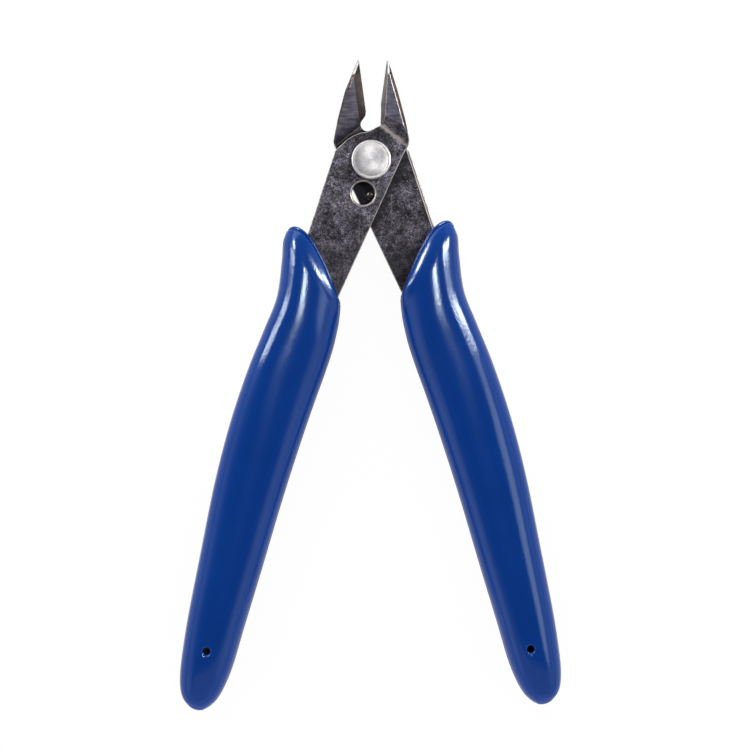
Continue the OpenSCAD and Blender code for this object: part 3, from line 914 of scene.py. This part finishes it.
# %% Room with soft panes
ROOM = [(0.0, 0.36), (0.12, 0.46), (0.3, 0.8), (0.45, 0.66), (0.63, 0.27), (0.8, 0.08), (1.0, 0.035)]
PANES = [(8, 49, 15, 2.6), (-22, 41, 16, 0.55), (-161, 34, 18, 0.4)]


def pale_room():
    """Greys by height, and panes given as azimuth, elevation, radius in degrees, and level."""
    world = bpy.data.worlds.new("room")
    bpy.context.scene.world = world
    bench = Bench(world)
    out = bench.where("Generated")
    split = bench.node("SeparateXYZ")
    bench.feed(split.inputs["Vector"], out)
    tone = bench.ramp(split.outputs["Z"], [(height, (grey,) * 3) for height, grey in ROOM])
    for azimuth, elevation, radius, level in PANES:
        up = math.radians(elevation)
        towards = heading(azimuth) * math.cos(up) + [0, 0, math.sin(up)]
        inside = bench.clamped(bench.vector("DOT_PRODUCT", out, tuple(towards)),
                               math.cos(math.radians(radius)), 0.9995)
        tone = bench.mixed(1.0, tone, bench.calc("MULTIPLY", inside, level), "ADD")
    bench.feed(bench.nodes["Background"].inputs["Color"], tone)
    print("room with", len(PANES), "panes")


pale_room()

# %% [markdown]
# ## The lamps
# Gloss and fill are kept apart. Four small strips beside the head draw the streaks on the horns. They are
# a little warm, and show in reflections only. White cards round the table fill the flanks with soft light,
# and no reflection shows them. The top lamp lights the rivet's face, the foot lamp and the window do the
# rest. One large soft box would be simpler, but it would give one broad sheen and no streaks.

# %% Cards, strips and lamps
WHITE, GREENISH, WARM = (1, 1, 1), (0.9, 1.0, 0.9), (1.0, 0.93, 0.91)
TABLE, HEAD = (0, 0, 0.005), (0, 0.03, 0)
CARDS = [("left_card", (-0.6, 0.0, 0.12), 1.0, 0.2, 2.2, WHITE),
         ("right_card", (0.6, 0.0, 0.12), 1.0, 0.2, 2.4, WHITE),
         ("head_card", (0.0, 0.6, 0.12), 1.0, 0.2, 8.0, GREENISH),
         ("foot_card", (0.0, -0.6, 0.12), 1.0, 0.2, 4.0, WHITE),
         ("over_card", (0.0, 0.12, 0.2), 0.15, 0.15, 0.13, WHITE)]
STRIPS = [("left_low", (-0.135, 0.058, 0.092), 0.012, 0.075, 0.06264),
          ("left_high", (-0.135, 0.105, 0.126), 0.042, 0.046, 0.216),
          ("right_low", (0.135, 0.074, 0.115), 0.026, 0.068, 0.2484),
          ("right_high", (0.135, 0.092, 0.226), 0.046, 0.046, 0.27)]


def area_lamp(name, at, aim, width, length, power_w, colour=WHITE):
    data = bpy.data.lights.new(name, "AREA")
    data.shape = "RECTANGLE"
    data.size, data.size_y = width, length
    data.energy = power_w
    data.color = colour
    lamp = bpy.data.objects.new(name, data)
    bpy.context.scene.collection.objects.link(lamp)
    lamp.location = at
    lamp.rotation_mode = "QUATERNION"
    lamp.rotation_quaternion = (Vector(aim) - Vector(at)).to_track_quat("-Z", "Y")
    return lamp


for name, at, width, length, power_w, colour in CARDS:
    area_lamp(name, at, TABLE, width, length, power_w, colour).visible_glossy = False
for name, at, width, length, power_w in STRIPS:
    area_lamp(name, at, HEAD, width, length, power_w, WARM).visible_diffuse = False
area_lamp("top_lamp", (-0.02, 0.147, 1.2), HEAD, 0.072, 0.082, 1.45)
area_lamp("foot_lamp", (0, -0.62, 0.95), (0, -0.03, 0), 1.5, 0.7, 1.1)
area_lamp("window", (-0.4, 0.86, 0.55), (0, 0.02, 0), 1.0, 0.5, 3.2)
print("lamps:", [lamp.name for lamp in bpy.data.lights])

# %% [markdown]
# ## The camera
# The tool is seen straight from above, through a long lens, so its far parts hardly shrink. The frame is
# square and spans a given width at the height of the plates. The distance follows from that width, the
# lens and the sensor.

# %% Camera
LENS, SENSOR, SPAN = 200, 36, 0.14625
VIEW_X, VIEW_Y = 0.00072, 0.00180
camera = bpy.data.objects.new("camera", bpy.data.cameras.new("camera"))
bpy.context.scene.collection.objects.link(camera)
bpy.context.scene.camera = camera
camera.data.lens, camera.data.sensor_width = LENS, SENSOR
camera.data.clip_start, camera.data.clip_end = 0.01, 20
camera.location = (VIEW_X, VIEW_Y, PIVOT[2] + SPAN * LENS / SENSOR)
camera.rotation_euler = (0, 0, 0)
bpy.context.scene.view_settings.view_transform = "Standard"
print("camera height:", round(camera.location.z, 3))

# %% [markdown] ## The size of the pieces Dressing must not change the tool's size: a finished piece that is
# bigger than its solid would no longer fit what MuJoCo moves.
